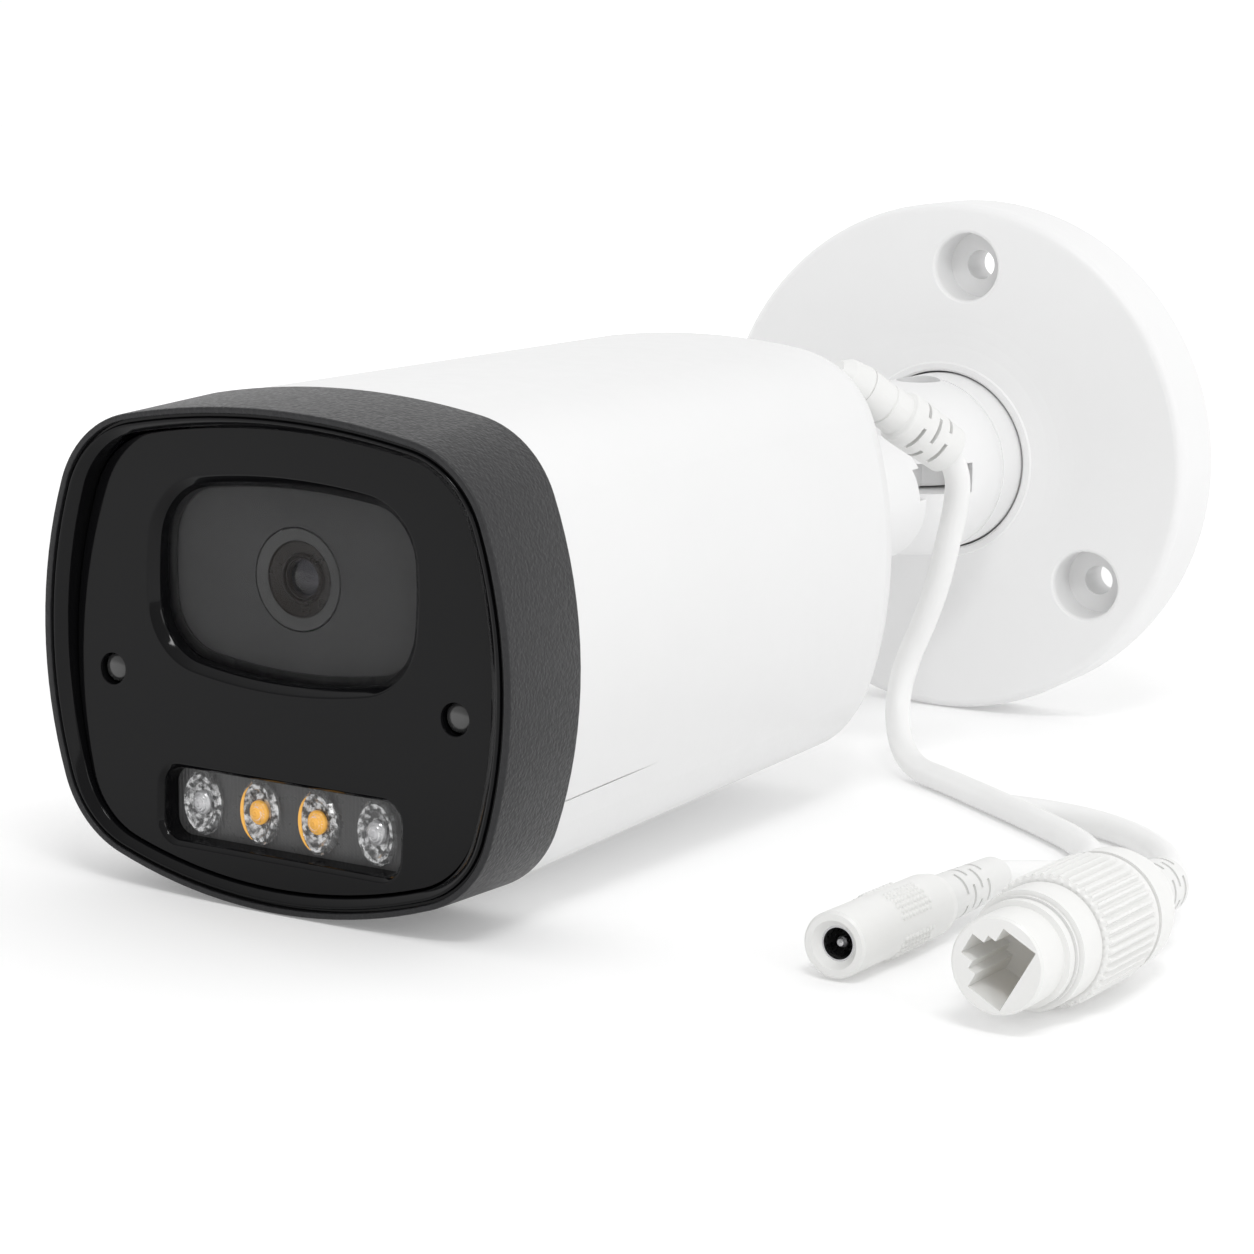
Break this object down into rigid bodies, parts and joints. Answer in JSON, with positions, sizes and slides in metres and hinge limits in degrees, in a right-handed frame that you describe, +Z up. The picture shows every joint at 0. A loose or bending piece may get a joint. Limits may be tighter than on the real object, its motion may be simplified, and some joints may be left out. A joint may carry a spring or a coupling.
{
  "type": "bullet security camera",
  "caption": "Bullet security camera with a rounded square housing, wall bracket that pans, swings and rolls, and a cable ending in power and network sockets.",
  "frame": {"origin": "centre of the wall plate's back face, on the circle of the three wall screws", "axes": "+Y into the wall, -Y the way the lens looks, +Z up; the camera stands on its bezel and the plate's rim, so the plate is tipped about 2.8 degrees about X from square to +Y"},
  "size_m": [0.211, 0.2957, 0.1266],
  "materials": {
    "white_paint": "satin white powder coat on die-cast aluminium",
    "bracket_white": "satin white powder coat on die-cast aluminium",
    "white_plastic": "fine moulded texture",
    "black_shell": "fine leather-like grain",
    "black_gloss": "polished",
    "smoked_glass": "smooth, lightly smoked",
    "matte_black": "matte",
    "baffle_grey": "matte",
    "lens_glass": "coated glass",
    "clear_lens": "clear moulded",
    "tray_dark": "dimpled texture",
    "infrared_chip": "clear cast",
    "warm_chip": "phosphor",
    "board_green": "solder mask",
    "chip_black": "moulded package",
    "silicon": "polished die",
    "steel": "plated",
    "aluminium": "bare",
    "seal_rubber": "matte",
    "cable_white": "matte vinyl sheath",
    "boot_white": "matte vinyl",
    "connector_white": "satin",
    "socket_black": "matte",
    "contact_gold": "gold plated",
    "friction_washer": "smooth"
  },
  "bodies": {
    "bracket": {"wall_plate": "bracket_white"},
    "turret": {"turret": "bracket_white", "turret_washer": "steel", "turret_retainer": "steel", "retainer_screws": "steel", "swing_screw": "steel", "swing_nut": "steel"},
    "arm": {"swivel_arm": "bracket_white", "swing_washers": "friction_washer", "stem_nut": "steel"},
    "head": {"roll_lock_ring": "white_plastic", "rear_cover": "white_paint", "rear_gasket": "seal_rubber", "main_housing": "white_paint", "bezel_gasket": "seal_rubber", "front_bezel": "black_shell", "front_panel": "black_gloss", "window_glass": "smoked_glass", "window_gasket": "seal_rubber", "lens_baffle": "baffle_grey", "lens_barrel": "matte_black", "lens_front_element": "lens_glass", "lens_rear_element": "lens_glass", "lens_holder": "matte_black", "filter_switch": "lens_glass", "image_sensor": "silicon", "sensor_board": "board_green", "light_tray": "tray_dark", "light_lenses": "clear_lens", "infrared_lights": "infrared_chip", "warm_lights": "warm_chip", "light_board": "board_green", "microphone": "matte_black", "light_sensor": "infrared_chip", "chassis": "aluminium", "board_pillars": "steel", "main_board": "board_green", "board_screws": "steel", "board_chips": "chip_black", "heat_spreader": "aluminium", "cable_boot": "boot_white", "main_cable": "cable_white", "network_tail": "cable_white", "dc_boot": "boot_white", "dc_jack_body": "connector_white", "dc_contact_sleeve": "steel", "dc_insulator": "socket_black", "dc_pin": "steel", "rj45_boot": "boot_white", "rj45_body": "connector_white", "rj45_collar": "connector_white", "rj45_seal": "boot_white", "rj45_contacts": "contact_gold"}
  },
  "joints": [
    {"name": "turret_pan", "type": "hinge", "parent": "bracket", "child": "turret", "pos_m": [0, 0, 0], "axis": [0, 0.9988, 0.0491], "range_deg": [-180, 180]},
    {"name": "arm_swing", "type": "hinge", "parent": "turret", "child": "arm", "pos_m": [0, -0.03396, -0.00167], "axis": [0, -0.0491, 0.9988], "range_deg": [-45, 45]},
    {"name": "head_roll", "type": "hinge", "parent": "arm", "child": "head", "pos_m": [0, -0.10965, -0.0098], "axis": [0, 0.9988, 0.0491], "range_deg": [-180, 180]}
  ]
}
